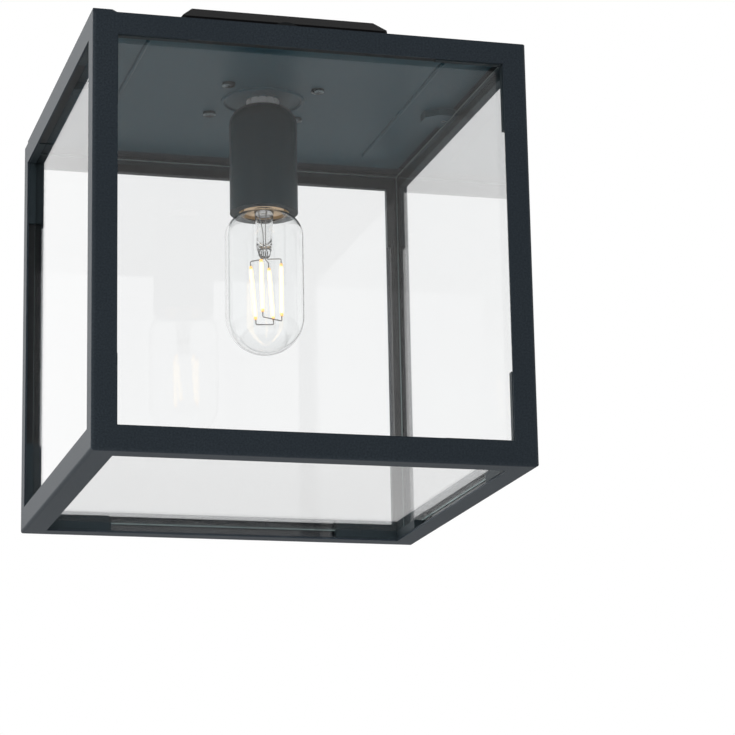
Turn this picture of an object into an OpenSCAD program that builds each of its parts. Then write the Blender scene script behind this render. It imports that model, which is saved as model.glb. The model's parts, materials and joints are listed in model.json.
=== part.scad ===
// Porch ceiling lantern: a square bar frame with five clear panes, hung under a ceiling
// box, with a lampholder and a tubular filament bulb inside.
// Origin: middle of the box's ceiling face. +Z up, +X right, the front faces -Y.

/* [Frame] */
// Width and depth of the square frame
frame_w = 240; // [220:1:280]
// Height of the lantern, from its top to its foot
lantern_h = 238; // [225:0.5:290]
// Width of the folded bars and of their flanges
bar_w = 13.3; // [12.5:0.1:15]
// Height of the top rails' faces
top_rail_h = 13.3; // [12.5:0.1:15]
// Height of the bottom rails' faces
bottom_rail_h = 13.5; // [13:0.1:17]
// Thickness of the bars' sheet
sheet = 1.2; // [1:0.1:1.5]
// Outer radius of the bars' folds
fold_r = 2; // [1.7:0.1:2.4]
// Cut at the corners where the side rails' top flanges lap a post
flange_cut = 3; // [1:0.5:5]

/* [Glazing] */
// Thickness of the panes
glass_t = 3; // [2:0.5:4]
// Depth of the side panes behind the frame's outer faces
glass_inset = 5; // [4.5:0.1:6]
// Depth of the side panes' top edges below the lantern's top
glass_top_drop = 5.8; // [5:0.1:7]
// Gap between neighbouring panes
pane_gap = 0.4; // [0.3:0.1:0.8]
// Height of the bottom pane above the frame's foot
bottom_pane_lift = 6; // [4:0.1:8]
// Width of the corner pads' legs
pad_w = 6.3; // [5.5:0.1:7]
// Reach of the corner pads past the inner edges of the bars
pad_reach = 38; // [25:1:50]
// Overhang of the corner pads past the edges of the bars
pad_overhang = 0.4; // [0.2:0.1:2]
// Width of the glazing tape
tape_w = 4.8; // [3.5:0.1:5.5]
// Distance of the upright tapes behind the posts' edges
tape_inset = 1.8; // [0:0.1:2.5]

/* [Side clips] */
// Width of an octagonal clip across its flats
clip_w = 22; // [18:0.5:24]
// Depth of a clip's lip behind the pane's top edge
clip_lip = 1; // [0.6:0.1:3]
// Diameter of a clip's rivet
rivet_d = 3.2; // [2.4:0.1:4]
// Diameter of a rivet's head
rivet_head_d = 6; // [5:0.5:8]
// Height of a rivet's head
rivet_head_h = 1; // [0.6:0.1:1.5]

/* [Roof] */
// Thickness of the roof plate
roof_t = 1.2; // [1:0.1:1.5]
// Gap between the roof plate and the flanges and panes beside it
roof_gap = 0.3; // [0.2:0.1:0.6]
// Distance of the pressed beads from the sides of the frame
bead_inset = 36.5; // [30:0.5:45]
// Distance of the beads' ends from the front and back faces
bead_end = 37; // [30:0.5:60]
// Radius of the beads and of the pressed ring
bead_r = 1.2; // [1:0.1:1.6]
// Radius of the pressed ring around the lampholder
ring_r = 23; // [20:0.5:28]

/* [Ceiling box] */
// Width and depth of the ceiling box
box_w = 119; // [110:1:130]
// Height of the ceiling box with its gasket
box_h = 32; // [31:0.5:45]
// Wall of the ceiling box
box_wall = 2.5; // [2:0.1:3]
// Chamfer around the top of the ceiling box
box_chamfer = 7; // [4:0.5:7]
// Radius of the ceiling box's upright corners
box_corner_r = 3; // [2:0.5:6]
// Thickness of the box's gasket
gasket_t = 1.5; // [1:0.1:2]
// Distance between the two ceiling screw slots
slot_spacing = 84; // [76:1:90]
// Width of the slots
slot_w = 5; // [4:0.1:6]
// Length of the slots, end to end
slot_l = 14; // [9:0.5:16]
// Diameter of the supply cable's hole in the ceiling face
cable_hole_d = 20; // [16:0.5:24]
// Diameter of the bore of the cable grommet
grommet_bore = 10; // [7:0.5:12]
// Diameter of the side cable entry's flange
entry_d = 23.6; // [20:0.2:24]
// Width of the side cable entry's flange around its hole
entry_lip = 1.8; // [1.5:0.1:3]
// Thickness of the side cable entry's membrane
membrane_t = 1; // [0.8:0.1:1.5]

/* [Roof screws] */
// Side of the square of roof screws
screw_square = 52; // [48:0.5:56]
// Diameter of the roof screws
screw_d = 3.9; // [3.5:0.1:4.5]
// Length of a roof screw under its head
screw_l = 16; // [12:0.5:20]
// Diameter of a roof screw's head
screw_head_d = 7.5; // [7:0.1:9]
// Height of a roof screw's head
screw_head_h = 2.6; // [2:0.1:3]
// Diameter of the screw pillars in the ceiling box
pillar_d = 9; // [8:0.5:11]

/* [Terminals] */
// Length of the terminal block
block_l = 34; // [32:0.5:40]
// Depth of the terminal block, along its poles
block_d = 16; // [14:0.5:20]
// Height of the terminal block
block_h = 14; // [13:0.5:15]
// Distance of the terminal block's middle from the box's back
block_inset = 23.5; // [19.5:0.5:25]
// Height of the pillar that the terminal block hangs from
block_pillar_h = 4; // [3:0.5:5]
// Distance between the poles
pole_pitch = 10; // [9:0.1:10.5]
// Outer diameter of the brass pole tubes
pole_d = 4.5; // [4:0.1:5]
// Bore of the brass pole tubes
pole_bore = 2.4; // [2.2:0.1:3]
// Diameter of the pole screws
pole_screw_d = 3; // [2.5:0.1:3.2]
// Diameter of the screw that holds the block
block_screw_d = 3; // [2.5:0.1:3.2]
// Distance of the earth stud from the box's left side
earth_inset = 21.5; // [15.5:0.5:23]
// Distance of the earth stud behind the middle
earth_y = 8; // [6:0.5:12]
// Diameter of the earth stud
earth_d = 4; // [3.5:0.1:5]
// Height of the earth stud
earth_h = 9; // [8:0.5:12]

/* [Lampholder] */
// Outer diameter of the threaded nipple
nipple_d = 10; // [9.5:0.1:10.4]
// Bore of the nipple
nipple_bore = 7; // [6.6:0.1:7.4]
// Height of the nipple above the roof plate
nipple_above = 8; // [7:0.5:10]
// Thickness of the toothed lock nut under the roof
lock_nut_t = 4.2; // [2.4:0.1:5]
// Outer diameter of the toothed lock nut
lock_nut_d = 19; // [17:0.5:21]
// Number of teeth on the lock nut
lock_nut_teeth = 12; // [8:1:16]
// Width across flats of the nut above the roof
top_nut_w = 14; // [13:0.5:17]
// Thickness of the nut above the roof
top_nut_t = 4; // [3:0.5:5]
// Thickness of the washer above the roof
washer_t = 1; // [0.8:0.1:1.5]
// Outer diameter of the lampholder
holder_d = 39; // [38.5:0.5:44]
// Length of the lampholder
holder_l = 63.5; // [63:0.5:72]
// Wall of the lampholder's cap
holder_wall = 1.5; // [1.2:0.1:1.8]
// Radius of the dome's shoulder
dome_r = 11; // [9:0.5:11.5]
// Height of the lampholder's cap
holder_cap_l = 25.5; // [25:0.5:28]
// Length of the boss inside the cap that takes the nipple
holder_boss_l = 10; // [8:0.5:11]
// Length of the body's collar inside the cap
collar_l = 7; // [5:0.5:8]
// Height of the insulating base inside the lampholder
base_t = 11; // [10:0.5:12]
// Length of the bulb's screw shell
shell_l = 31.5; // [30:0.5:32]
// Depth of the shell's foot inside the lampholder's mouth
shell_recess = 0.5; // [0.3:0.1:1]
// Depth of the bulb's tip under the lampholder's base
tip_drop = 3.5; // [2.5:0.1:4]
// Reach of the centre contact's strip from the axis
contact_reach = 9; // [8:0.5:10]
// Width of the centre contact's strip
contact_w = 5; // [4:0.5:6]
// Thickness of the centre contact's strip
contact_t = 0.5; // [0.4:0.1:0.8]
// Length of a holder terminal
terminal_l = 8; // [7:0.5:9]
// Bore of the screw shell
shell_bore = 27.2; // [26.9:0.1:27.6]
// Wall of the screw shell
shell_t = 0.6; // [0.5:0.1:0.8]

/* [Bulb] */
// Diameter of the bulb
bulb_d = 45; // [40:0.5:60]
// Overall length of the bulb
bulb_l = 112; // [105:0.5:118]
// Wall of the bulb's glass
bulb_wall = 0.8; // [0.6:0.1:1.2]
// Diameter of the bulb's neck
neck_d = 24.8; // [24.4:0.1:24.9]
// Distance of the bulb's shoulder under the screw shell's foot
neck_out = 1; // [0.5:0.1:2]
// Height of the bulb's shoulder
shoulder_h = 13.5; // [12.5:0.5:20]
// Diameter over the cap's thread
cap_d = 26.3; // [26:0.1:26.4]
// Depth of the cap's thread
thread_depth = 0.65; // [0.5:0.05:0.7]
// Pitch of the cap's thread
thread_pitch = 3.6; // [3.5:0.05:3.7]
// Number of thread ridges
thread_turns = 5; // [4:1:5]
// Wall of the cap
cap_wall = 0.6; // [0.4:0.1:0.7]
// Diameter of the stem's tube
stem_d = 9; // [8:0.5:10]
// Length of the stem's flattened press
press_l = 7.5; // [6:0.5:9]
// Height of the press above the filaments' tops
press_gap = 3.5; // [2.5:0.5:5]
// Distance of the filaments from the bulb's axis
filament_r = 9.5; // [8:0.5:11]
// Depth of the filaments' tops under the start of the bulb's shoulder
filament_drop = 29.5; // [28:0.5:33]
// Length of the filaments
filament_l = 30; // [25:0.5:32]
// Diameter of the filaments
filament_d = 2.1; // [1.6:0.1:2.4]
// Diameter of the wires in the bulb
wire_d = 0.8; // [0.6:0.1:1]
// Diameter of the wiring leads
lead_d = 1.9; // [1.6:0.1:2]

/* [Hidden] */
$fn = 72;

// Clearances and small shared sizes
fit = 0.05;
eps = 0.01;

// Heights: the roof plate lies under the side flanges, level with the front and back flanges
half_w = frame_w / 2;
roof_z = -box_h;
seat_z = roof_z - roof_t;
top_z = roof_z + sheet;
foot_z = top_z - lantern_h;
bar_edge = half_w - bar_w;
bar_inner = half_w - sheet;

// Panes
glass_out = half_w - glass_inset;
glass_in = glass_out - glass_t;
glass_top = top_z - glass_top_drop;
glass_foot = foot_z + sheet;
glass_h = glass_top - glass_foot;
pane_half = glass_in - pane_gap;
bottom_pane_z = foot_z + bottom_pane_lift;
pad_t = glass_inset - sheet;

// Colours
frame_color = "#2d3236";
rubber_color = "#1b1d1e";
pad_color = "#3a3f42";
glass_color = [0.85, 0.92, 0.93, 0.3];
steel_color = "#c4c7c8";
brass_color = "#b08d4f";
plastic_color = "#1f2123";

// ---------- shared shapes ----------

module rounded_square(half, r) {
  square([2 * (half - r), 2 * half], center = true);
  square([2 * half, 2 * (half - r)], center = true);
  for (x = [-1, 1], y = [-1, 1])
    translate([x * (half - r), y * (half - r)]) circle(r);
}

// Side view of a box with rounded lower edges, from z = low to z = high
module rounded_foot(half, r, low, high) {
  translate([-half, low + r]) square([2 * half, high - low - r]);
  translate([-half + r, low]) square([2 * (half - r), 2 * r]);
  for (x = [-1, 1])
    translate([x * (half - r), low + r]) circle(r);
}

module folded_box(half, r, low, high) {
  intersection() {
    translate([0, 0, low]) linear_extrude(high - low) rounded_square(half, r);
    rotate([90, 0, 0]) linear_extrude(4 * half, center = true) rounded_foot(half, r, low, high);
    rotate([90, 0, 90]) linear_extrude(4 * half, center = true) rounded_foot(half, r, low, high);
  }
}

// A part made for one side, turned to that side: 0 front, 1 right, 2 back, 3 left
module on_side(side) {
  rotate([0, 0, 90 * side]) children();
}

// Flat shape drawn in X and Z, given the depth range [near, far] from the middle, on the front
module upright(near, far) {
  translate([0, -near, 0]) rotate([90, 0, 0]) linear_extrude(far - near) children();
}

module rod(a, b, d) {
  v = b - a;
  l = norm(v);
  translate(a) rotate([0, acos(v[2] / l), atan2(v[1], v[0])]) cylinder(d = d, h = l, $fn = 24);
}

module ring(od, id, h) {
  difference() {
    cylinder(d = od, h = h);
    translate([0, 0, -eps]) cylinder(d = id, h = h + 2 * eps);
  }
}

// ---------- frame ----------

module frame_sheet() {
  difference() {
    folded_box(half_w, fold_r, foot_z, roof_z);
    folded_box(bar_inner, fold_r - sheet, foot_z + sheet, roof_z + eps);
  }
}

// Corner post at the front left, mirrored to the other corners
module post(sx, sy) {
  color(frame_color) mirror([sx > 0 ? 1 : 0, 0, 0]) mirror([0, sy > 0 ? 1 : 0, 0])
    intersection() {
      frame_sheet();
      union() {
        translate([-half_w, -half_w, foot_z]) cube([bar_w, sheet, roof_z - foot_z]);
        translate([-half_w, -half_w, foot_z]) cube([sheet, bar_w, roof_z - foot_z]);
        translate([-half_w, -half_w, foot_z + sheet]) cube([bar_w, bar_w, roof_z - foot_z - sheet]);
      }
    }
}

// Outline of a bottom flange between its mitred ends
module bottom_flange_outline() {
  polygon([
    [-bar_edge, -half_w], [bar_edge, -half_w], [bar_edge, -bar_inner], [bar_inner, -bar_inner],
    [bar_edge, -bar_edge], [-bar_edge, -bar_edge], [-bar_inner, -bar_inner], [-bar_edge, -bar_inner]
  ]);
}

module bottom_rail(side) {
  color(frame_color) on_side(side)
    intersection() {
      frame_sheet();
      union() {
        translate([-bar_edge, -half_w, foot_z]) cube([2 * bar_edge, bar_w, bottom_rail_h]);
        translate([0, 0, foot_z]) linear_extrude(sheet) bottom_flange_outline();
      }
    }
}

// Front and back top rails: their flanges run under the side rails' flanges
module top_rail_low(side) {
  face_h = top_rail_h - sheet;
  color(frame_color) on_side(side) {
    translate([-bar_edge, -half_w, roof_z - face_h]) cube([2 * bar_edge, sheet, face_h]);
    intersection() {
      translate([0, 0, roof_z - sheet]) linear_extrude(sheet) rounded_square(bar_inner, fold_r - sheet);
      translate([-bar_inner, -bar_inner, roof_z - sheet]) cube([2 * bar_inner, bar_w - sheet, sheet]);
    }
  }
}

// Side top rails: their flanges lie over the front and back flanges, and lap one post each
module top_rail_high(side) {
  cut = flange_cut;
  color(frame_color) on_side(side) difference() {
    union() {
      translate([-bar_edge, -half_w, top_z - top_rail_h]) cube([2 * bar_edge, sheet, top_rail_h]);
      translate([0, 0, roof_z]) linear_extrude(sheet) polygon([
        [-bar_edge, -half_w], [half_w, -half_w], [half_w, -bar_edge - cut], [half_w - cut, -bar_edge],
        [-bar_edge, -bar_edge]
      ]);
    }
    translate([0, -rivet_x, roof_z - eps]) cylinder(d = rivet_d + 2 * fit, h = sheet + 2 * eps);
  }
}

// ---------- glazing ----------

// Pads lap the bars' edges at the window's corners
pad_side_in = bar_edge - pad_overhang;
pad_side_end = bar_edge - pad_reach;
pad_corner = half_w - glass_inset;
window_top = top_z - top_rail_h;
window_foot = foot_z + bottom_rail_h;

// L-shaped pad at the window's upper or lower left corner
module pad_outline(edge, up) {
  outer = edge + up * (pad_w - pad_overhang);
  inner = edge - up * pad_overhang;
  end = edge - up * pad_reach;
  polygon([
    [-pad_corner, outer], [-pad_side_end, outer], [-pad_side_end, inner],
    [-pad_side_in, inner], [-pad_side_in, end], [-pad_corner, end]
  ]);
}

module corner_pads() {
  color(pad_color)
    for (side = [0:3], flip = [0, 1]) on_side(side) mirror([flip, 0, 0]) {
      upright(glass_out, bar_inner) pad_outline(window_top, 1);
      upright(glass_out, bar_inner) pad_outline(window_foot, -1);
    }
}

module glazing_tape(side) {
  span = 2 * pad_side_end;
  rise_low = window_foot + pad_reach;
  rise_high = window_top - pad_reach;
  color(rubber_color) on_side(side) upright(glass_out, bar_inner) {
    translate([-pad_side_end, window_top]) square([span, tape_w]);
    translate([-pad_side_end, window_foot - tape_w]) square([span, tape_w]);
    for (flip = [0, 1]) mirror([flip, 0])
      translate([bar_edge + tape_inset, rise_low]) square([tape_w, rise_high - rise_low]);
  }
}

module side_pane(side, half) {
  color(glass_color) on_side(side)
    translate([-half, -glass_out, glass_foot]) cube([2 * half, glass_t, glass_h]);
}

module glass_bottom() {
  color(glass_color) translate([-pane_half, -pane_half, bottom_pane_z])
    cube([2 * pane_half, 2 * pane_half, glass_t]);
}

// L-shaped pads on the bottom flanges, under the corners of the bottom pane
module corner_pads_bottom() {
  out = pane_half;
  inner = pad_side_in;
  end = pad_side_end;
  color(pad_color)
    for (side = [0:3]) on_side(side)
      translate([0, 0, foot_z + sheet]) linear_extrude(bottom_pane_lift - sheet) polygon([
        [-out, -out], [-end, -out], [-end, -inner], [-inner, -inner], [-inner, -end], [-out, -end]
      ]);
}

// ---------- side clips ----------

clip_gap = 0.2;
clip_x = bar_inner - clip_gap - clip_w / 2;
rivet_x = (bar_edge + glass_in) / 2;
clip_foot = glass_top - clip_lip;
clip_notch = glass_top + clip_gap;

module side_clips() {
  color(frame_color)
    for (side = [1, 3]) on_side(side)
      difference() {
        translate([0, -clip_x, clip_foot]) rotate([0, 0, 22.5])
          cylinder(d = clip_w / cos(22.5), h = seat_z - clip_foot, $fn = 8);
        translate([-clip_w, -half_w, clip_foot - eps])
          cube([2 * clip_w, half_w - glass_in + pane_gap, clip_notch - clip_foot + eps]);
        translate([0, -rivet_x, clip_foot - eps])
          cylinder(d = rivet_d + 2 * fit, h = seat_z - clip_foot + 2 * eps);
      }
}

module clip_rivets() {
  color(steel_color)
    for (side = [1, 3]) on_side(side) translate([0, -rivet_x, 0]) {
      translate([0, 0, clip_foot]) cylinder(d = rivet_d, h = top_z - clip_foot);
      translate([0, 0, top_z]) cylinder(d = rivet_head_d, h = rivet_head_h);
    }
}

// ---------- roof ----------

roof_half_x = glass_in - roof_gap;
roof_half_y = bar_edge - roof_gap;
bead_x = half_w - bead_inset;
bead_half = half_w - bead_end;
screw_at = screw_square / 2;

module bead(r) {
  rotate([90, 0, 0]) cylinder(r = r, h = 2 * bead_half, center = true);
  for (end = [-1, 1]) translate([0, end * bead_half, 0]) sphere(r);
}

module roof_plate() {
  groove_r = bead_r / 2;
  color(frame_color) difference() {
    union() {
      translate([-roof_half_x, -roof_half_y, seat_z]) cube([2 * roof_half_x, 2 * roof_half_y, roof_t]);
      intersection() {
        translate([0, 0, seat_z]) for (x = [-1, 1]) translate([x * bead_x, 0, 0]) bead(bead_r);
        translate([-half_w, -half_w, seat_z - 2 * bead_r]) cube([frame_w, frame_w, 2 * bead_r + roof_t / 2]);
      }
      intersection() {
        translate([0, 0, seat_z]) rotate_extrude() translate([ring_r, 0]) circle(bead_r);
        translate([-half_w, -half_w, seat_z - 2 * bead_r]) cube([frame_w, frame_w, 2 * bead_r + roof_t / 2]);
      }
    }
    for (x = [-1, 1]) translate([x * bead_x, 0, roof_z]) bead(groove_r);
    translate([0, 0, seat_z - eps]) cylinder(d = nipple_d + 4 * fit, h = roof_t + 2 * eps);
    for (x = [-1, 1], y = [-1, 1]) translate([x * screw_at, y * screw_at, seat_z - eps])
      cylinder(d = screw_d + 2 * fit, h = roof_t + 2 * eps);
    for (x = [-1, 1]) translate([x * rivet_x, 0, seat_z - eps])
      cylinder(d = rivet_d + 2 * fit, h = roof_t + 2 * eps);
  }
}

// Pan-head screw, head down at z = 0, shank up
module pan_screw(d, l, head_d, head_h) {
  slot_w_screw = head_d / 6;
  cylinder(d = d, h = l);
  difference() {
    intersection() {
      translate([0, 0, -head_h]) cylinder(d = head_d, h = head_h);
      translate([0, 0, head_d - head_h]) sphere(head_d);
    }
    for (turn = [0, 90]) rotate([0, 0, turn])
      translate([-head_d / 3, -slot_w_screw / 2, -head_h - eps])
        cube([2 * head_d / 3, slot_w_screw, head_h / 2 + eps]);
  }
}

module roof_screws() {
  color(steel_color)
    for (x = [-1, 1], y = [-1, 1]) translate([x * screw_at, y * screw_at, seat_z])
      pan_screw(screw_d, screw_l, screw_head_d, screw_head_h);
}

// ---------- ceiling box ----------

box_half = box_w / 2;
box_foot = roof_z + gasket_t;
entry_z = (box_foot - box_chamfer) / 2;
entry_hole_d = entry_d - 2 * entry_lip;
entry_lip_in = -box_chamfer - box_wall * (sqrt(2) - 1) - entry_z - 2 * fit;
block_y = box_half - block_inset;
block_top = -box_wall - block_pillar_h;
block_screw_x = pole_pitch / 2;
block_screw_l = block_h + block_pillar_h - 1;

module chamfered_side(half, cut, low, high) {
  polygon([
    [-half, low], [half, low], [half, high - cut], [half - cut, high], [cut - half, high], [-half, high - cut]
  ]);
}

module box_block(half, cut, low, high, r) {
  intersection() {
    translate([0, 0, low]) linear_extrude(high - low) rounded_square(half, r);
    rotate([90, 0, 0]) linear_extrude(4 * half, center = true) chamfered_side(half, cut, low, high);
    rotate([90, 0, 90]) linear_extrude(4 * half, center = true) chamfered_side(half, cut, low, high);
  }
}

module ceiling_slot() {
  run = (slot_l - slot_w) / 2;
  translate([0, 0, -box_wall - eps]) linear_extrude(box_wall + 2 * eps) {
    square([2 * run, slot_w], center = true);
    for (x = [-run, run]) translate([x, 0]) circle(d = slot_w);
  }
}

module ceiling_box() {
  inner_cut = box_chamfer - box_wall * (2 - sqrt(2));
  pillar_bore_l = screw_l - roof_t + 1;
  color(plastic_color) difference() {
    union() {
      difference() {
        box_block(box_half, box_chamfer, box_foot, 0, box_corner_r);
        box_block(box_half - box_wall, inner_cut, box_foot - eps, -box_wall, box_corner_r / 2);
      }
      for (x = [-1, 1], y = [-1, 1]) translate([x * screw_at, y * screw_at, roof_z])
        cylinder(d = pillar_d, h = box_h - box_wall / 2);
      translate([block_screw_x, block_y, block_top])
        cylinder(d = 2 * block_screw_d + 1, h = block_pillar_h + box_wall / 2);
    }
    for (x = [-1, 1], y = [-1, 1]) translate([x * screw_at, y * screw_at, roof_z - eps])
      cylinder(d = screw_d + 2 * fit, h = pillar_bore_l);
    for (x = [-1, 1]) translate([x * slot_spacing / 2, 0, 0]) ceiling_slot();
    translate([0, 0, -box_wall - eps]) cylinder(d = cable_hole_d, h = box_wall + 2 * eps);
    translate([0, -box_half - eps, entry_z]) rotate([-90, 0, 0])
      cylinder(d = entry_hole_d, h = box_wall + 2 * eps);
    translate([block_screw_x, block_y, block_top - eps])
      cylinder(d = block_screw_d + 2 * fit, h = block_pillar_h + eps);
  }
}

module box_gasket() {
  color(rubber_color) translate([0, 0, roof_z]) linear_extrude(gasket_t) difference() {
    rounded_square(box_half, box_corner_r);
    rounded_square(box_half - box_wall, box_corner_r / 2);
  }
}

module cable_grommet() {
  lip_t = 1.5;
  color(rubber_color) difference() {
    union() {
      translate([0, 0, -box_wall]) cylinder(d = cable_hole_d - 2 * fit, h = box_wall);
      translate([0, 0, -box_wall - lip_t]) cylinder(d = cable_hole_d + 4, h = lip_t);
    }
    translate([0, 0, -box_wall - lip_t - eps]) cylinder(d = grommet_bore, h = box_wall + lip_t + 2 * eps);
  }
}

// Rubber entry, turned about the front wall's normal; its axis starts at the wall's outer face
module cable_entry() {
  lip_t = 1.5;
  hub = entry_hole_d / 2 - fit;
  bore = hub - 1.5;
  color(rubber_color) translate([0, -box_half, entry_z]) rotate([-90, 0, 0]) rotate_extrude() {
    translate([0, box_wall / 2]) square([hub, membrane_t]);
    translate([bore, -lip_t]) square([hub - bore, 2 * lip_t + box_wall]);
    translate([bore, -lip_t]) square([entry_d / 2 - bore, lip_t]);
    translate([bore, box_wall]) square([entry_lip_in - bore, lip_t]);
    translate([hub / 3, box_wall / 2 - membrane_t / 2]) square([membrane_t, membrane_t]);
  }
}

// ---------- terminals and leads ----------

pole_z = block_top - block_h / 2;
block_foot = block_top - block_h;
poles = [-pole_pitch, 0, pole_pitch];
pole_screw_run = block_d / 4;

module terminal_block() {
  color("#e8e6df") difference() {
    translate([-block_l / 2, block_y - block_d / 2, block_foot]) cube([block_l, block_d, block_h]);
    for (x = poles) {
      translate([x, block_y, pole_z]) rotate([90, 0, 0])
        cylinder(d = pole_d + 2 * fit, h = block_d + 2 * eps, center = true);
      for (run = [-1, 1]) translate([x, block_y + run * pole_screw_run, block_foot - eps])
        cylinder(d = pole_screw_d + 2 * fit, h = block_h / 2);
    }
    translate([block_screw_x, block_y, block_foot - eps])
      cylinder(d = block_screw_d + 2 * fit, h = block_h + 2 * eps);
  }
}

module terminal_poles() {
  pole_l = block_d - 1;
  color(brass_color) for (x = poles) translate([x, block_y, pole_z]) rotate([90, 0, 0])
    translate([0, 0, -pole_l / 2]) ring(pole_d, pole_bore, pole_l);
}

module terminal_screws() {
  screw_top = pole_z - pole_d / 2 - 0.1;
  low = block_foot + 0.5;
  color(steel_color) for (x = poles, run = [-1, 1])
    translate([x, block_y + run * pole_screw_run, low]) difference() {
      cylinder(d = pole_screw_d, h = screw_top - low);
      translate([-pole_screw_d, -0.3, -eps]) cube([2 * pole_screw_d, 0.6, 0.8]);
    }
}

module block_screw() {
  color(steel_color) translate([block_screw_x, block_y, block_foot])
    pan_screw(block_screw_d, block_screw_l, 1.8 * block_screw_d, 0.7 * block_screw_d);
}

earth_ring_t = 0.8;
earth_barrel_d = 3;
earth_at = [earth_inset - box_half, earth_y, roof_z];
earth_lead_x = 7;

module earth_stud() {
  color(steel_color) translate(earth_at) cylinder(d = earth_d, h = earth_h);
}

module earth_ring() {
  color(steel_color) translate(earth_at) difference() {
    union() {
      cylinder(d = 2 * earth_d, h = earth_ring_t);
      translate([earth_d, 0, earth_barrel_d / 2]) rotate([0, 90, 0])
        cylinder(d = earth_barrel_d, h = earth_lead_x - earth_d);
      translate([earth_d / 2 + 0.5, -1, 0]) cube([earth_d / 2 + 0.5, 2, earth_ring_t]);
    }
    translate([0, 0, -eps]) cylinder(d = earth_d + 2 * fit, h = earth_ring_t + 2 * eps);
  }
}

module earth_nut() {
  color(steel_color) translate(earth_at + [0, 0, earth_ring_t]) difference() {
    cylinder(d = 1.9 * earth_d, h = 0.8 * earth_d, $fn = 6);
    translate([0, 0, -eps]) cylinder(d = earth_d + 2 * fit, h = earth_d);
  }
}

// Smooth route through hand-chosen points, and a tube of 8 sides along it
function spline(a, b, c, d, t) = 0.5 * (
  2 * b + (c - a) * t + (2 * a - 5 * b + 4 * c - d) * t * t + (3 * b - a - 3 * c + d) * t * t * t);
function route(p, steps) = [
  for (i = [0:len(p) - 2], k = [0:steps - 1])
    spline(p[max(i - 1, 0)], p[i], p[i + 1], p[min(i + 2, len(p) - 1)], k / steps),
  p[len(p) - 1]
];
function unit(v) = v / norm(v);
function heading(p, i) = unit(p[min(i + 1, len(p) - 1)] - p[max(i - 1, 0)]);

// Rings are set square to the route; side_axis is never parallel to it
module tube(path, d, side_axis) {
  sides = 8;
  n = len(path);
  rings = [
    for (i = [0:n - 1])
      let (f = heading(path, i), u = unit(cross(side_axis, f)), v = cross(f, u))
        for (k = [0:sides - 1])
          path[i] + d / 2 * (cos(360 * k / sides) * u + sin(360 * k / sides) * v)
  ];
  walls = [
    for (i = [0:n - 2], k = [0:sides - 1])
      let (a = i * sides + k, b = i * sides + (k + 1) % sides)
        each [[a, b + sides, b], [a, a + sides, b + sides]]
  ];
  ends = [[for (k = [0:sides - 1]) k], [for (k = [sides - 1:-1:0]) (n - 1) * sides + k]];
  polyhedron(points = rings, faces = concat(walls, ends), convexity = 6);
}

lead_start_y = block_y - block_d / 2 + 2;
lead_bend_y = block_y - block_d / 2 - 6;
lead_gap = 1.6;

// Route of a lead from its pole, through the nipple, to its side of the lampholder
function lead_route(pole_x, s) = [
  [pole_x, lead_start_y, pole_z], [pole_x, lead_bend_y, pole_z], [pole_x * 0.5 + s, 10, pole_z - 1],
  [s * lead_gap * 1.4, 3, pole_z - 4], [s * lead_gap, 0, roof_z + nipple_above + 1],
  [s * lead_gap, 0, seat_z], [s * lead_gap, 0, nipple_foot - 1], [s * 3.5, 0, terminal_z + 3],
  [s * (terminal_in - 1.5), 0, terminal_z], [s * (terminal_in - 0.3), 0, terminal_z]
];

module lead_live() {
  color("#6b3f24") tube(route(lead_route(pole_pitch, 1), 3), lead_d, [0, 1, 0.3]);
}

module lead_neutral() {
  color("#2b4c8c") tube(route(lead_route(0, -1), 3), lead_d, [0, 1, 0.3]);
}

module lead_earth() {
  end = earth_at + [earth_lead_x + 0.3, 0, earth_barrel_d / 2];
  color("#7d9a3a") tube(route([
    [-pole_pitch, lead_start_y, pole_z], [-pole_pitch, lead_bend_y, pole_z],
    [-14, 15, pole_z - 3], [-20, 10, pole_z - 9], [-25, earth_y, end[2] + 3],
    end + [3, 0, 0.5], end
  ], 3), lead_d, [0, 1, 0.3]);
}

// ---------- nipple and nuts ----------

holder_top = seat_z - lock_nut_t;
nipple_foot = holder_top - holder_boss_l;

module nipple() {
  color(steel_color) translate([0, 0, nipple_foot])
    ring(nipple_d, nipple_bore, roof_z + nipple_above - nipple_foot);
}

module lock_nut() {
  tooth = lock_nut_d / 15;
  color(steel_color) translate([0, 0, seat_z - lock_nut_t]) difference() {
    cylinder(d = lock_nut_d, h = lock_nut_t);
    translate([0, 0, -eps]) cylinder(d = nipple_d + 2 * fit, h = lock_nut_t + 2 * eps);
    for (k = [0:lock_nut_teeth - 1]) rotate([0, 0, k * 360 / lock_nut_teeth])
      translate([lock_nut_d / 2 - tooth, -tooth / 2, -eps]) cube([2 * tooth, tooth, lock_nut_t + 2 * eps]);
  }
}

module toothed_washer() {
  color(steel_color) translate([0, 0, roof_z]) ring(top_nut_w + 3, nipple_d + 2 * fit, washer_t);
}

module top_nut() {
  color(steel_color) translate([0, 0, roof_z + washer_t]) difference() {
    cylinder(d = top_nut_w / cos(30), h = top_nut_t, $fn = 6);
    translate([0, 0, -eps]) cylinder(d = nipple_d + 2 * fit, h = top_nut_t + 2 * eps);
  }
}

// ---------- lampholder ----------

holder_r = holder_d / 2;
holder_foot = holder_top - holder_l;
cap_foot = holder_top - holder_cap_l;
cap_bore_r = holder_r - holder_wall;
collar_r = cap_bore_r - 2 * fit;
collar_in_r = collar_r - 1.2;
mouth_r = shell_bore / 2 + shell_t + fit;
shell_foot = holder_foot + shell_recess;
shell_top = shell_foot + shell_l;
base_top = shell_top + base_t;
terminal_h = 5;
terminal_in = 7;
terminal_w = 5;
terminal_screw_d = 2.5;
terminal_z = base_top + terminal_h / 2;

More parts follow.
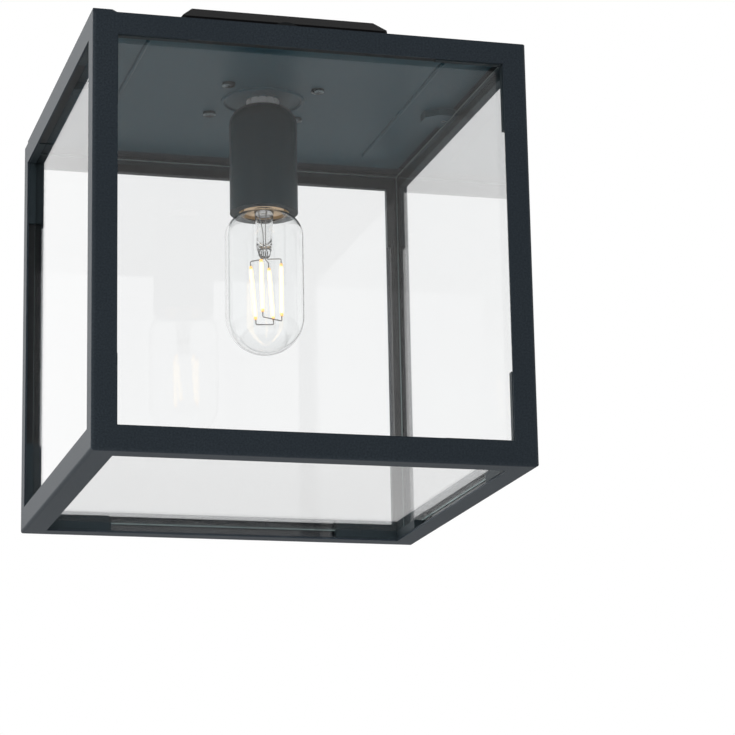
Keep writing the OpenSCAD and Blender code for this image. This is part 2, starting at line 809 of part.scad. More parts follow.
// Outline of the cap's outside: a cylinder with a round shoulder
module cap_outline(r, corner, low, high) {
  translate([0, low]) square([r, high - low - corner]);
  translate([0, low]) square([r - corner, high - low]);
  intersection() {
    translate([r - corner, high - corner]) circle(corner);
    translate([0, high - corner]) square([r, corner]);
  }
}

module holder_cap() {
  ceiling = holder_top - 2;
  color(plastic_color) difference() {
    union() {
      difference() {
        rotate_extrude() cap_outline(holder_r, dome_r, cap_foot, holder_top);
        rotate_extrude() cap_outline(cap_bore_r, dome_r - holder_wall, cap_foot - eps, ceiling);
      }
      translate([0, 0, nipple_foot]) cylinder(d = nipple_d + 6, h = holder_boss_l);
    }
    translate([0, 0, nipple_foot - eps]) cylinder(d = nipple_d + 2 * fit, h = holder_boss_l + 2 * eps);
  }
}

module holder_body() {
  color(plastic_color) difference() {
    union() {
      translate([0, 0, holder_foot]) cylinder(r = holder_r, h = cap_foot - holder_foot);
      translate([0, 0, cap_foot - eps]) cylinder(r = collar_r, h = collar_l + eps);
    }
    translate([0, 0, holder_foot - eps]) cylinder(r = mouth_r, h = holder_l);
    translate([0, 0, shell_top]) cylinder(r = collar_in_r, h = holder_l);
  }
}

module holder_base() {
  color("#d8d3c4") translate([0, 0, shell_top]) cylinder(r = collar_in_r - 2 * fit, h = base_t);
}

module holder_terminals() {
  color(brass_color) for (x = [-1, 1]) translate([x * (terminal_in + terminal_w / 2), 0, base_top])
    difference() {
      translate([-terminal_w / 2, -terminal_l / 2, 0]) cube([terminal_w, terminal_l, terminal_h]);
      translate([0, 0, 1]) cylinder(d = terminal_screw_d + 2 * fit, h = terminal_h);
    }
}

module holder_screws() {
  color(steel_color) for (x = [-1, 1]) translate([x * (terminal_in + terminal_w / 2), 0, base_top])
    translate([0, 0, terminal_h]) mirror([0, 0, 1])
      pan_screw(terminal_screw_d, terminal_h - 1.5, 4.4, 1.2);
}

// Sprung centre contact under the base, just above the bulb's tip
module holder_contact() {
  tip = bulb_tip_z + 2 * fit;
  half = contact_reach / 2;
  bend = contact_reach - 3 * contact_t;
  color(brass_color) rotate([90, 0, 0]) linear_extrude(contact_w, center = true) polygon([
    [-contact_reach, shell_top], [-half, shell_top], [-half, shell_top - contact_t],
    [-bend, shell_top - contact_t], [-half, tip + contact_t], [half, tip + contact_t], [half, tip],
    [-half - contact_t / 2, tip], [-contact_reach, shell_top - contact_t]
  ]);
}

module screw_shell() {
  color(brass_color) translate([0, 0, shell_foot])
    ring(shell_bore + 2 * shell_t, shell_bore, shell_l);
}

// ---------- bulb ----------

bulb_r = bulb_d / 2;
bulb_tip_z = shell_top - tip_drop;
bulb_foot = bulb_tip_z - bulb_l;
ball_z = bulb_foot + bulb_r;
neck_z = shell_foot - neck_out;
shoulder_z = neck_z - shoulder_h;
neck_r = neck_d / 2;
shoulder_run = bulb_r - neck_r;
shoulder_r = (shoulder_run * shoulder_run + shoulder_h * shoulder_h) / (2 * shoulder_run);
tip_t = 0.8;
insulator_h = 2.2;
thread_top = bulb_tip_z - tip_t - insulator_h - 1;
skirt_top = thread_top - thread_turns * thread_pitch;
skirt_foot = skirt_top - 3.2;
cap_r = cap_d / 2;
root_r = cap_r - thread_depth;

// Half outline of the bulb's glass, drawn smaller by the wall for its inside
module bulb_outline(shrink) {
  r = bulb_r - shrink;
  arc = shoulder_r - shrink;
  arc_x = bulb_r - shoulder_r;
  intersection() {
    translate([0, ball_z]) circle(r);
    translate([0, ball_z - bulb_r]) square([bulb_r, bulb_r]);
  }
  translate([0, ball_z]) square([r, shoulder_z - ball_z]);
  intersection() {
    translate([arc_x, shoulder_z]) circle(arc);
    translate([0, shoulder_z]) square([bulb_r, shoulder_h]);
  }
  translate([0, shoulder_z]) square([neck_r - shrink, skirt_top - cap_wall - 2 * fit - shoulder_z]);
}

module bulb_glass() {
  color(glass_color) rotate_extrude() difference() {
    bulb_outline(0);
    bulb_outline(bulb_wall);
    translate([0, shoulder_z + 1]) square([neck_r - bulb_wall, 2 * shoulder_h]);
  }
}

module bulb_cap() {
  skirt_in = neck_r + 0.15;
  inner_r = root_r - cap_wall;
  color(steel_color) rotate_extrude() {
    translate([inner_r, skirt_top]) square([cap_wall, thread_top - skirt_top]);
    for (k = [0:thread_turns - 1])
      translate([root_r - thread_depth, thread_top - (k + 0.5) * thread_pitch]) circle(2 * thread_depth);
    translate([skirt_in, skirt_foot]) square([cap_r - skirt_in, skirt_top - skirt_foot]);
    translate([inner_r, skirt_top - cap_wall]) square([cap_r - inner_r, cap_wall]);
    translate([7, thread_top]) square([root_r - 7, 1]);
  }
}

module bulb_insulator() {
  color("#101214") translate([0, 0, bulb_tip_z - tip_t - insulator_h])
    cylinder(r1 = 8, r2 = 5.5, h = insulator_h);
}

module bulb_contact() {
  color(steel_color) translate([0, 0, bulb_tip_z - tip_t]) {
    cylinder(r = 4.6, h = tip_t / 2);
    translate([0, 0, tip_t / 2]) cylinder(r1 = 4.6, r2 = 3, h = tip_t / 2);
  }
}

// Filament ends, as angles about the bulb's axis at the top and at the bottom
filament_top_z = neck_z - filament_drop;
filament_turn = [-12, 62, 134, 245];
filament_lean = [0, -16, -24, 4];
press_foot = filament_top_z + press_gap;
stem_foot = press_foot + press_l;
function filament_top(k) = [
  filament_r * cos(filament_turn[k]), filament_r * sin(filament_turn[k]), filament_top_z];
function filament_foot(k) =
  let (a = filament_turn[k] + filament_lean[k])
    [filament_r * cos(a), filament_r * sin(a), filament_top_z - filament_l];

// Glass tube of the stem with its flattened press; it flares to the neck in the cap
module bulb_stem() {
  flare_z = neck_z + 2;
  flare_h = 3;
  color(glass_color) {
    translate([0, 0, stem_foot]) ring(stem_d, stem_d - 2, flare_z - stem_foot);
    translate([0, 0, flare_z]) rotate_extrude() polygon([
      [stem_d / 2 - 1, 0], [stem_d / 2, 0], [neck_r - bulb_wall - 0.1, flare_h],
      [neck_r - bulb_wall - 1.1, flare_h]
    ]);
    translate([-stem_d / 2, -1.5, press_foot]) cube([stem_d, 3, stem_foot - press_foot + 1]);
  }
}

// The wires leave the press side by side and end just clear of the filaments' ends
module bulb_wires() {
  clear = [0, 0, wire_d / 2 + 2 * fit];
  color(steel_color) {
    for (k = [0:3]) rod([1.5 - k, 0, press_foot] - clear, filament_top(k) + clear, wire_d);
    for (pair = [[0, 3], [1, 2]])
      rod(filament_foot(pair[0]) - clear, filament_foot(pair[1]) - clear, wire_d);
  }
}

module bulb_filaments() {
  color("#f5c26b") for (k = [0:3]) rod(filament_top(k), filament_foot(k), filament_d);
}

// ---------- drawing ----------

post(-1, -1);  // post_front_left
post(1, -1);  // post_front_right
post(-1, 1);  // post_back_left
post(1, 1);  // post_back_right
top_rail_low(0);  // top_rail_front
top_rail_low(2);  // top_rail_back
top_rail_high(3);  // top_rail_left
top_rail_high(1);  // top_rail_right
bottom_rail(0);  // bottom_rail_front
bottom_rail(2);  // bottom_rail_back
bottom_rail(3);  // bottom_rail_left
bottom_rail(1);  // bottom_rail_right
corner_pads();
corner_pads_bottom();
glazing_tape(0);  // glazing_tape_front
glazing_tape(2);  // glazing_tape_back
glazing_tape(3);  // glazing_tape_left
glazing_tape(1);  // glazing_tape_right
side_pane(0, glass_out);  // glass_front
side_pane(2, glass_out);  // glass_back
side_pane(3, pane_half);  // glass_left
side_pane(1, pane_half);  // glass_right
glass_bottom();
side_clips();
clip_rivets();
roof_plate();
roof_screws();
ceiling_box();
box_gasket();
cable_grommet();
cable_entry();
terminal_block();
terminal_poles();
terminal_screws();
block_screw();
earth_stud();
earth_ring();
earth_nut();
lead_live();
lead_neutral();
lead_earth();
nipple();
lock_nut();
top_nut();
toothed_washer();
holder_cap();
holder_body();
holder_base();
holder_terminals();
holder_screws();
holder_contact();
screw_shell();
bulb_glass();
bulb_cap();
bulb_insulator();
bulb_contact();
bulb_stem();
bulb_wires();
bulb_filaments();
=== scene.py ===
import json
import math

import bmesh
import bpy
from mathutils import Euler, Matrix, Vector


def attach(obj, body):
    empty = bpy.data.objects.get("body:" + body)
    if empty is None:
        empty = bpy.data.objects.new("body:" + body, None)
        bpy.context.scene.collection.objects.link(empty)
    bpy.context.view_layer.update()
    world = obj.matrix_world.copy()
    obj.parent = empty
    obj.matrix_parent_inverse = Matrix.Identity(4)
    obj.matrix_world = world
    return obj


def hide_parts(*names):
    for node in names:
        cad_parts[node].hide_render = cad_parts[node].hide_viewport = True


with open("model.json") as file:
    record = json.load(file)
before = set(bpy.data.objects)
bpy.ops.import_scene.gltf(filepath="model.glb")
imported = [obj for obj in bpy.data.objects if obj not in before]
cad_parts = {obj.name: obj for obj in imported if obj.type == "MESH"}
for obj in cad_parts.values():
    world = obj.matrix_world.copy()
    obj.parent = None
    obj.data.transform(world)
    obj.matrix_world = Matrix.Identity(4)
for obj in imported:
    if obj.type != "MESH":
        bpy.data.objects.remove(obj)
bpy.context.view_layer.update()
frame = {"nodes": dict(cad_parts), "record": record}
nodes = frame["nodes"]
MM = 0.001


# ---------- materials ----------

class Tree:
    """Short calls that add and join the nodes of a material or a world."""

    def __init__(self, owner):
        owner.use_nodes = True
        self.tree = owner.node_tree
        self.tree.nodes.clear()

    def add(self, kind, **settings):
        node = self.tree.nodes.new(kind)
        for key, value in settings.items():
            setattr(node, key, value)
        return node

    def link(self, a, b):
        self.tree.links.new(a, b)

    def put(self, socket, value):
        if isinstance(value, bpy.types.NodeSocket):
            self.link(value, socket)
        else:
            socket.default_value = value

    def between(self, fac, low, high, start=0.3, end=0.7):
        """low where fac is start or less, high where it is end or more. Noise is mostly 0.3-0.7."""
        node = self.add("ShaderNodeMapRange")
        self.link(fac, node.inputs["Value"])
        ends = {"From Min": start, "From Max": end, "To Min": low, "To Max": high}
        for key, value in ends.items():
            node.inputs[key].default_value = value
        return node.outputs["Result"]

    def math(self, operation, a, b):
        node = self.add("ShaderNodeMath", operation=operation)
        self.put(node.inputs[0], a)
        self.put(node.inputs[1], b)
        return node.outputs[0]

    def blend(self, fac, a, b):
        """Shader a where fac is 0 and shader b where it is 1."""
        node = self.add("ShaderNodeMixShader")
        self.link(fac, node.inputs["Fac"])
        self.link(a, node.inputs[1])
        self.link(b, node.inputs[2])
        return node.outputs["Shader"]


class Nodes(Tree):
    """A new material with one Principled shader, in the piece's own coordinates."""

    def __init__(self, name):
        self.mat = bpy.data.materials.new(name)
        super().__init__(self.mat)
        self.out = self.add("ShaderNodeOutputMaterial")
        self.shader = self.add("ShaderNodeBsdfPrincipled")
        self.surface(self.shader.outputs["BSDF"])
        self.coord = self.add("ShaderNodeTexCoord").outputs["Object"]

    def surface(self, shader):
        self.link(shader, self.out.inputs["Surface"])

    def set(self, **values):
        for key, value in values.items():
            self.put(self.shader.inputs[key.replace("_", " ")], value)

    def noise(self, scale, detail=2.0, rough=0.5):
        node = self.add("ShaderNodeTexNoise")
        self.link(self.coord, node.inputs["Vector"])
        for key, value in (("Scale", scale), ("Detail", detail), ("Roughness", rough)):
            node.inputs[key].default_value = value
        return node.outputs["Fac"]

    def ramp(self, fac, low, high):
        """Colour low up to 0.34 of fac and high from 0.66 on."""
        node = self.add("ShaderNodeValToRGB")
        self.link(fac, node.inputs["Fac"])
        for stop, place, colour in zip(node.color_ramp.elements, (0.34, 0.66), (low, high)):
            stop.position = place
            stop.color = (*colour, 1)
        return node.outputs["Color"]

    def mix(self, fac, a, b):
        node = self.add("ShaderNodeMix", data_type="RGBA")
        self.put(node.inputs[0], fac)
        for socket, value in ((node.inputs[6], a), (node.inputs[7], b)):
            self.put(socket, value if isinstance(value, bpy.types.NodeSocket) else (*value, 1))
        return node.outputs[2]

    def bump(self, height, depth):
        node = self.add("ShaderNodeBump")
        self.link(height, node.inputs["Height"])
        node.inputs["Strength"].default_value = 0.25
        node.inputs["Distance"].default_value = depth
        return node.outputs["Normal"]


def coated(name, dark, light, rough, spec, grain, depth):
    """Sheet or moulding with a fine even grain, and a slow change of tone across it."""
    m = Nodes(name)
    fine = m.noise(grain, 3.0, 0.65)
    slow = m.noise(14)
    tone = m.mix(m.between(slow, 0.0, 0.35), m.ramp(fine, dark, light), dark)
    m.set(Base_Color=tone, Roughness=m.between(fine, rough - 0.06, rough + 0.06))
    m.set(Specular_IOR_Level=spec)
    if depth:
        m.set(Normal=m.bump(fine, depth))
    return m.mat


def metal(name, colour, rough, dull):
    """Plated or bare metal: a fine grain, and duller patches where it was handled."""
    m = Nodes(name)
    grain = m.noise(900, 4.0, 0.6)
    patch = m.noise(120, 3.0, 0.55)
    m.set(Base_Color=m.mix(m.between(patch, 0.0, 1.0), [c * dull for c in colour], colour))
    m.set(Metallic=1.0, Roughness=m.between(patch, rough - 0.06, rough + 0.08))
    m.set(Normal=m.bump(grain, 0.00004))
    return m.mat


EDGE_DARK, EDGE_LIGHT = (0.20, 0.27, 0.27), (0.30, 0.37, 0.37)
EDGE_LIMIT = 0.2


def clear_glass(name, tint, cut_edge=None):
    """Real glass to the eye; lamps shine through it. A flat pane's cut edges, which don't face
    along the axis cut_edge, are dull and darker, as on float glass seen from its side."""
    m = Nodes(name)
    wave = m.noise(9, 1.0)
    m.set(Base_Color=m.mix(m.between(wave, 0.0, 1.0), tint, [min(1, c * 1.01) for c in tint]))
    m.set(Transmission_Weight=1.0, Roughness=0.0, IOR=1.5)
    path = m.add("ShaderNodeLightPath")
    clear = m.add("ShaderNodeBsdfTransparent")
    glass = m.blend(path.outputs["Is Shadow Ray"], m.shader.outputs["BSDF"], clear.outputs["BSDF"])
    if cut_edge:
        turn = m.add("ShaderNodeVectorTransform", vector_type="NORMAL",
                     convert_from="WORLD", convert_to="OBJECT")
        m.link(m.add("ShaderNodeNewGeometry").outputs["True Normal"], turn.inputs[0])
        split = m.add("ShaderNodeSeparateXYZ")
        m.link(turn.outputs[0], split.inputs[0])
        along = m.math("POWER", split.outputs[cut_edge], 2.0)
        ground = m.add("ShaderNodeBsdfDiffuse")
        grain = m.between(m.noise(1500), 0.0, 1.0)
        m.link(m.mix(grain, EDGE_DARK, EDGE_LIGHT), ground.inputs["Color"])
        glass = m.blend(m.math("LESS_THAN", along, EDGE_LIMIT), glass, ground.outputs["BSDF"])
    m.surface(glass)
    return m.mat


def glowing(name, core, rim, strength):
    """A lit filament's coat: nearly white where it faces the eye, warmer at its sides."""
    m = Nodes(name)
    facing = m.add("ShaderNodeLayerWeight")
    facing.inputs["Blend"].default_value = 0.5
    glow = m.mix(facing.outputs["Facing"], core, rim)
    glow = m.mix(m.between(m.noise(1500), 0.0, 0.15), glow, rim)
    m.set(Base_Color=(0.9, 0.62, 0.2, 1), Roughness=0.6)
    m.set(Emission_Color=glow, Emission_Strength=strength)
    return m.mat


# name: dark colour, light colour, roughness, specular level, grain's scale, grain's depth in m.
# The roof and the lampholder have no depth, as a grain in relief streaks at their flat angle.
COATS = {
    "powder_coat": ((0.0205, 0.0275, 0.0345), (0.0340, 0.0430, 0.0525), 0.50, 0.05, 1000, 0.00004),
    # The roof's coat is the frame's powder coat made lighter and bluer: painted light, standing in
    # for the light that the roof plate and side clips catch inside the panes.
    "roof_coat_painted_light": ((0.024, 0.057, 0.073), (0.029, 0.064, 0.081), 0.40, 0.06, 700, 0),
    "pad_coat": ((0.0130, 0.0200, 0.0240), (0.0200, 0.0290, 0.0340), 0.55, 0.12, 1600, 0.00004),
    "rubber": ((0.006, 0.0075, 0.0085), (0.012, 0.014, 0.0155), 0.62, 0.2, 1100, 0.00006),
    "box_plastic": ((0.0016, 0.0016, 0.0020), (0.0032, 0.0032, 0.0038), 0.55, 0.08, 1900, 0.00004),
    "holder_plastic": ((0.0040, 0.0150, 0.0200), (0.0050, 0.0170, 0.0225), 0.42, 0.06, 500, 0),
    "holder_ceramic": ((0.62, 0.58, 0.49), (0.72, 0.68, 0.6), 0.4, 0.5, 900, 0.00005),
    "cement": ((0.42, 0.31, 0.20), (0.56, 0.44, 0.31), 0.7, 0.3, 700, 0.00006),
    "block_plastic": ((0.72, 0.70, 0.64), (0.8, 0.78, 0.72), 0.42, 0.5, 1200, 0.00004),
    "insulator": ((0.004, 0.005, 0.006), (0.01, 0.011, 0.012), 0.2, 0.5, 700, 0.00004),
    "lead_brown": ((0.10, 0.038, 0.016), (0.15, 0.06, 0.026), 0.45, 0.5, 900, 0.00004),
    "lead_blue": ((0.012, 0.05, 0.24), (0.02, 0.075, 0.33), 0.45, 0.5, 900, 0.00004),
    "lead_earth": ((0.10, 0.28, 0.04), (0.42, 0.44, 0.03), 0.45, 0.5, 500, 0.00004),
}
# name: colour, roughness, share of the colour that is left in the dull patches
METALS = {
    "brass": ((0.62, 0.44, 0.19), 0.3, 0.8),
    "nickel": ((0.97, 0.97, 0.97), 0.5, 0.94),
    "zinc": ((0.74, 0.76, 0.77), 0.3, 0.8),
    "coated_screw": ((0.11, 0.14, 0.15), 0.16, 0.6),
    "wire": ((0.30, 0.29, 0.28), 0.3, 0.6),
}
MATS = {name: coated(name, *look) for name, look in COATS.items()}
MATS.update({name: metal(name, *look) for name, look in METALS.items()})
MATS["bulb_glass"] = clear_glass("bulb_glass", (0.985, 0.99, 0.99))
MATS["filament"] = glowing("filament", (1.0, 0.95, 0.84), (1.0, 0.70, 0.36), 1.15)
MATS["filament_end"] = glowing("filament_end", (1.0, 0.5, 0.14), (0.85, 0.32, 0.06), 0.8)

# The cement's own glow stands in for the light that the filaments throw on it.
lit = MATS["cement"].node_tree.nodes["Principled BSDF"]
lit.inputs["Emission Color"].default_value = (0.62, 0.47, 0.32, 1)
lit.inputs["Emission Strength"].default_value = 0.5

PANE_TINT = (0.962, 0.966, 0.967)
side_pane = clear_glass("pane_glass_side", PANE_TINT, cut_edge="X")
front_pane = clear_glass("pane_glass_front", PANE_TINT, cut_edge="Y")
bottom_pane = clear_glass("pane_glass_bottom", PANE_TINT, cut_edge="Z")

# These nodes look otherwise than their slot says; the rest have the material of their slot.
OWN = {
    # The roof plate and the side clips get the lighter copy of the coat, which paints the light
    # they catch inside the panes.
    "roof_plate": MATS["roof_coat_painted_light"],
    "side_clips": MATS["roof_coat_painted_light"],
    "glass_front": front_pane,
    "glass_back": front_pane,
    "glass_left": side_pane,
    "glass_right": side_pane,
    "glass_bottom": bottom_pane,
}
for part in frame["record"]["subparts"]:
    mesh = nodes[part["node"]].data
    mesh.materials.clear()
    mesh.materials.append(OWN.get(part["node"]) or MATS[part["material_slot"]])


# ---------- broken edges on the CAD's pieces ----------

# width in mm: nodes
BEVELS = {
    0.15: ["corner_pads", "corner_pads_bottom", "roof_plate", "clip_rivets", "lock_nut", "top_nut",
           "earth_nut", "toothed_washer", "terminal_block", "holder_terminals", "bulb_contact"],
    0.3: ["glass_front", "glass_back", "glass_left", "glass_right", "glass_bottom"],
    0.35: ["ceiling_box", "box_gasket", "holder_cap", "holder_body", "cable_grommet"],
    0.4: ["side_clips"],
}
BEVEL_ANGLE = math.radians(40)

for width, names in BEVELS.items():
    for name in names:
        bevel = nodes[name].modifiers.new("edge", "BEVEL")
        bevel.width = width * MM
        bevel.segments = 2
        bevel.limit_method = "ANGLE"
        bevel.angle_limit = BEVEL_ANGLE
        bevel.harden_normals = True


# ---------- calls that build pieces, all lengths in mm ----------

def new_piece(name, body, mats, stands_for):
    mesh = bpy.data.meshes.new(name)
    piece = bpy.data.objects.new(name, mesh)
    bpy.context.scene.collection.objects.link(piece)
    for m in mats:
        mesh.materials.append(MATS[m])
    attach(piece, body)
    if stands_for:
        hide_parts(stands_for)
    return piece


def fill(piece, build):
    bm = bmesh.new()
    build(bm)
    bmesh.ops.recalc_face_normals(bm, faces=bm.faces)
    bm.to_mesh(piece.data)
    bm.free()
    for face in piece.data.polygons:
        face.use_smooth = True


def band(bm, a, b):
    """Faces between two rings of as many vertices."""
    n = len(a)
    return [bm.faces.new((a[k], a[(k + 1) % n], b[(k + 1) % n], b[k])) for k in range(n)]


def tube(bm, path, radius, sides, mat=0):
    """Round bar along a path of points. radius is one number, or one per point."""
    rings = []
    points = [Vector(p) * MM for p in path]
    side = None
    for i, p in enumerate(points):
        ahead = (points[min(i + 1, len(points) - 1)] - points[max(i - 1, 0)]).normalized()
        if side is None:
            side = ahead.orthogonal().normalized()
        side = (side - ahead * side.dot(ahead)).normalized()
        up = ahead.cross(side)
        r = (radius[i] if isinstance(radius, (list, tuple)) else radius) * MM
        rings.append([bm.verts.new(p + r * (math.cos(a) * side + math.sin(a) * up))
                      for a in (2 * math.pi * k / sides for k in range(sides))])
    faces = [face for a, b in zip(rings, rings[1:]) for face in band(bm, a, b)]
    faces += [bm.faces.new(rings[0][::-1]), bm.faces.new(rings[-1])]
    for face in faces:
        face.material_index = mat


def rounded(points, radius):
    """The path with its inner corners bent round."""
    steps = 5
    out = [Vector(points[0])]
    for a, b, c in zip(points, points[1:], points[2:]):
        a, b, c = Vector(a), Vector(b), Vector(c)
        into, away = (a - b), (c - b)
        cut = min(radius, into.length * 0.45, away.length * 0.45)
        start, end = b + into.normalized() * cut, b + away.normalized() * cut
        for k in range(steps + 1):
            t = k / steps
            out.append(start * (1 - t) ** 2 + b * 2 * t * (1 - t) + end * t ** 2)
    out.append(Vector(points[-1]))
    return out


def lathe(bm, profile):
    """Rings of (radius, flattening across y, height), joined in order; returns the rings."""
    sides = 40
    rings = []
    for r, flat, z in profile:
        rings.append([bm.verts.new(Vector((r * math.cos(a), flat * r * math.sin(a), z)) * MM)
                      for a in (2 * math.pi * k / sides for k in range(sides))])
    for a, b in zip(rings, rings[1:]):
        band(bm, a, b)
    return rings


def raised(point, height):
    return point + Vector((0, 0, height))


# ---------- the bulb's inside, all lengths in mm ----------

FILAMENT_TOP = -129.6
FILAMENT_LENGTH = 33.4
FILAMENT_RADIUS = 9.5
# Where each filament's top stands round the bulb's axis, and how far its foot is turned from it
TURNS = (-12, 62, 134, 245)
LEANS = (0, -16, -24, 4)
# Along a filament, 0 is its top and 1 its foot
GLOW_AT = (0.085, 0.1, 0.14, 0.3, 0.5, 0.7, 0.86, 0.9, 0.915)
GLOW_RADII = (0.85, 1.05, 1.15, 1.15, 1.15, 1.15, 1.15, 1.05, 0.85)
ENDS_AT = ((0.0, 0.04, 0.086), (1.0, 0.96, 0.914))
END_RADII = (0.8, 0.95, 0.9)
TAB_RADII = (0.36, 0.42)

WIRE_RADIUS = 0.32
WIRE_LAP = 0.6
WIRE_RISE = 1.6
LEAD_IN_RADIUS = 0.3
# The glass press that holds the wires ends here; they start this far up inside it
PRESS_FOOT = -127.4
WIRE_ROOT = PRESS_FOOT + 4


def around(angle, z):
    a = math.radians(angle)
    return Vector((FILAMENT_RADIUS * math.cos(a), FILAMENT_RADIUS * math.sin(a), z))


filament_ends = [(around(turn, FILAMENT_TOP), around(turn + lean, FILAMENT_TOP - FILAMENT_LENGTH))
                 for turn, lean in zip(TURNS, LEANS)]


def build_filaments(bm):
    for top, foot in filament_ends:
        run = foot - top
        tube(bm, [top + run * t for t in GLOW_AT], GLOW_RADII, 16, 0)
        for tip, neck, coat in ENDS_AT:
            end = [top + run * t for t in (neck, (neck + coat) / 2, coat)]
            tube(bm, end, END_RADII, 16, 1)
            tube(bm, [top + run * tip, top + run * neck], TAB_RADII, 8, 2)


filaments = new_piece("filament_rods", "bulb", ["filament", "filament_end", "wire"],
                      "bulb_filaments")
fill(filaments, build_filaments)


def build_wires(bm):
    for k, (top, _) in enumerate(filament_ends):
        x = 1.5 - k
        path = [(x, 0, WIRE_ROOT), (x, 0, PRESS_FOOT - 0.8), raised(top, WIRE_RISE),
                raised(top, -WIRE_LAP)]
        tube(bm, rounded(path, 1.0), WIRE_RADIUS, 8)
    for a, b in ((0, 3), (1, 2)):
        foot_a, foot_b = filament_ends[a][1], filament_ends[b][1]
        path = [raised(foot_a, WIRE_LAP), raised(foot_a, -WIRE_RISE), raised(foot_b, -WIRE_RISE),
                raised(foot_b, WIRE_LAP)]
        tube(bm, rounded(path, 0.8), WIRE_RADIUS, 8)


wires = new_piece("filament_wires", "bulb", ["wire"], "bulb_wires")
fill(wires, build_wires)


def build_lead_ins(bm):
    for x, top in ((-0.9, -3.4), (0.9, 1.6)):
        path = [(top, 0.4, -98.4), (top * 0.55, 0.2, -106), (x * 0.7, 0, -113), (x, 0, WIRE_ROOT)]
        tube(bm, rounded(path, 3.0), LEAD_IN_RADIUS, 8)


lead_ins = new_piece("bulb_lead_ins", "bulb", ["wire"], None)
fill(lead_ins, build_lead_ins)

# The flared tube of the stem, outside from the top down to the pinched press, then inside and up
STEM_TOP = -98.9
STEM_OUT = [(6.0, 1, STEM_TOP), (5.4, 1, -102.5), (4.9, 1, -108), (4.5, 1, -115),
            (4.5, 0.9, -118.5), (4.6, 0.55, -120.6), (4.3, 0.42, -122.6), (3.7, 0.46, -124.6),
            (3.3, 0.5, -126.4), (2.6, 0.5, PRESS_FOOT), (1.2, 0.5, PRESS_FOOT - 0.4)]
STEM_IN = [(0.5, 1, -120.6), (2.6, 1, -119.6), (3.7, 1, -117.5), (3.9, 1, -113),
           (4.3, 1, -108), (4.8, 1, -102.5), (5.4, 1, STEM_TOP)]


def build_stem(bm):
    outer = lathe(bm, STEM_OUT)
    inner = lathe(bm, STEM_IN)
    band(bm, outer[0], inner[-1])
    bm.faces.new(outer[-1])
    bm.faces.new(inner[0])


stem = new_piece("stem_glass", "bulb", ["bulb_glass"], "bulb_stem")
fill(stem, build_stem)

CEMENT = [(0.6, 1, -98.3), (5.0, 1, -98.5), (7.0, 1, -98.6), (9.8, 1, -98.7), (11.3, 1, -99.1),
          (11.8, 1, -99.0), (11.8, 1, -96.8), (0.6, 1, -96.8)]


def build_cement(bm):
    rings = lathe(bm, CEMENT)
    bm.faces.new(rings[0])
    bm.faces.new(rings[-1])


cement = new_piece("cap_cement", "bulb", ["cement"], None)
fill(cement, build_cement)


# ---------- stage, light and camera ----------

FLOOR_Z = -0.9
FLOOR_SIZE = 16


def make_floor():
    """A pale floor that can't be seen from below."""
    bpy.ops.mesh.primitive_plane_add(size=FLOOR_SIZE, location=(0, 0, FLOOR_Z))
    floor = bpy.context.active_object
    floor.name = "floor"
    m = Nodes("floor")
    grain = m.between(m.noise(60, 3.0), 0.0, 1.0)
    m.set(Base_Color=m.mix(grain, (0.80, 0.80, 0.80), (0.83, 0.83, 0.83)), Roughness=0.9)
    m.set(Specular_IOR_Level=0.0)
    back = m.add("ShaderNodeNewGeometry").outputs["Backfacing"]
    clear = m.add("ShaderNodeBsdfTransparent")
    m.surface(m.blend(back, m.shader.outputs["BSDF"], clear.outputs["BSDF"]))
    floor.data.materials.append(m.mat)


make_floor()

# The world's light grows from FRONT_LIGHT to 1 as its direction's y goes from FRONT_Y to BACK_Y
FRONT_Y, BACK_Y = -0.75, 0.1
FRONT_LIGHT = 0.12


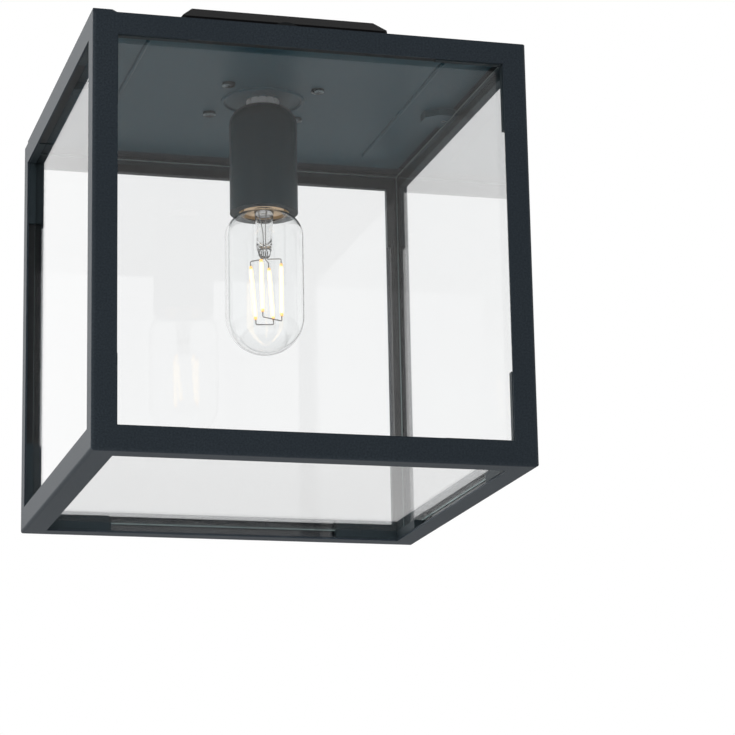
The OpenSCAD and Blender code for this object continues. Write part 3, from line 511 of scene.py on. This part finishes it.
def make_world():
    """White to the eye and through the panes. To the front, its light and what glossy surfaces
    mirror are darker, or the panes would veil the inside with white."""
    world = bpy.data.worlds.new("studio")
    bpy.context.scene.world = world
    world.cycles.sampling_method = "NONE"
    w = Tree(world)
    out = w.add("ShaderNodeOutputWorld")
    shade = w.add("ShaderNodeBackground")
    white = w.add("ShaderNodeBackground")
    for background in (shade, white):
        background.inputs["Color"].default_value = (1, 1, 1, 1)
    split = w.add("ShaderNodeSeparateXYZ")
    w.link(w.add("ShaderNodeTexCoord").outputs["Generated"], split.inputs[0])
    y = split.outputs["Y"]
    w.link(w.between(y, FRONT_LIGHT, 1.0, FRONT_Y, BACK_Y), shade.inputs["Strength"])
    path = w.add("ShaderNodeLightPath").outputs
    seen = w.math("MAXIMUM", path["Is Camera Ray"], path["Is Transmission Ray"])
    gloss = w.math("MULTIPLY", path["Is Glossy Ray"], w.between(y, 0.0, 1.0, FRONT_Y, BACK_Y))
    both = w.blend(w.math("MAXIMUM", seen, gloss), shade.outputs[0], white.outputs[0])
    w.link(both, out.inputs["Surface"])


make_world()

LAMP_AIM = (0, 0, -0.15)
# name: place in m, size in m, power in W
LAMPS = {
    "softbox_left": ((-1.3, 1.5, 0.45), 1.2, 23),
    "softbox_front": ((-1.4, -1.5, 0.5), 1.0, 17),
    "softbox_right": ((1.9, -0.5, 0.6), 1.0, 9),
}


def lamp(name, place, size, power):
    data = bpy.data.lights.new(name, "AREA")
    data.shape = "SQUARE"
    data.size = size
    data.energy = power
    light = bpy.data.objects.new(name, data)
    bpy.context.scene.collection.objects.link(light)
    light.location = place
    light.visible_transmission = False
    light.visible_camera = False
    aim = Vector(LAMP_AIM) - Vector(place)
    light.rotation_euler = aim.to_track_quat("-Z", "Y").to_euler()


for name, settings in LAMPS.items():
    lamp(name, *settings)

CAMERA_PLACE = (-0.3557, -1.4771, -0.5643)
CAMERA_TURN = (103.759, 1.096, -15.452)
SENSOR_WIDTH = 36
LENS = 135.51

camera_data = bpy.data.cameras.new("camera")
camera = bpy.data.objects.new("camera", camera_data)
bpy.context.scene.collection.objects.link(camera)
camera.location = CAMERA_PLACE
camera.rotation_euler = Euler([math.radians(a) for a in CAMERA_TURN], "XYZ")
camera_data.sensor_width = SENSOR_WIDTH
camera_data.lens = LENS
camera_data.clip_start = 0.05
camera_data.clip_end = 60
bpy.context.scene.camera = camera
bpy.context.scene.view_settings.view_transform = "Standard"
